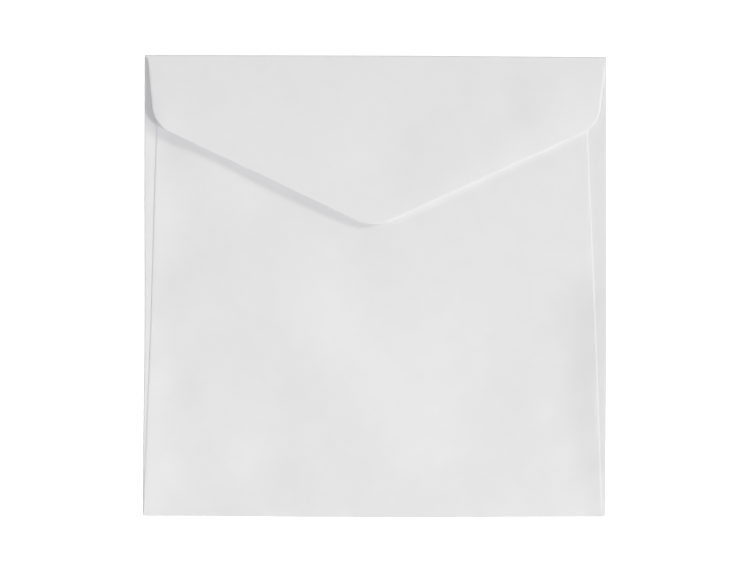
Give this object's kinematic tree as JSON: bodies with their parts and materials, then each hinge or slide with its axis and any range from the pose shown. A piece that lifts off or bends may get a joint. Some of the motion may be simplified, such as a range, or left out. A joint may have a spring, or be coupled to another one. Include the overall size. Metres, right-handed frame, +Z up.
{
  "type": "paper envelope",
  "caption": "Square white paper envelope lying on its address side, its pointed flap with a round tip folded over the tapered back panel and left unsealed.",
  "frame": {"origin": "centre of the address side, on the surface that the envelope lies on", "axes": "+Z up out of the flap side, +Y towards the fold of the seal flap, +X to the right with the flap side facing the viewer and the fold at the top"},
  "size_m": [0.16, 0.16, 0.0022],
  "materials": {
    "paper": "matt uncoated white paper"
  },
  "bodies": {
    "root": {"envelope": "paper"}
  },
  "joints": []
}
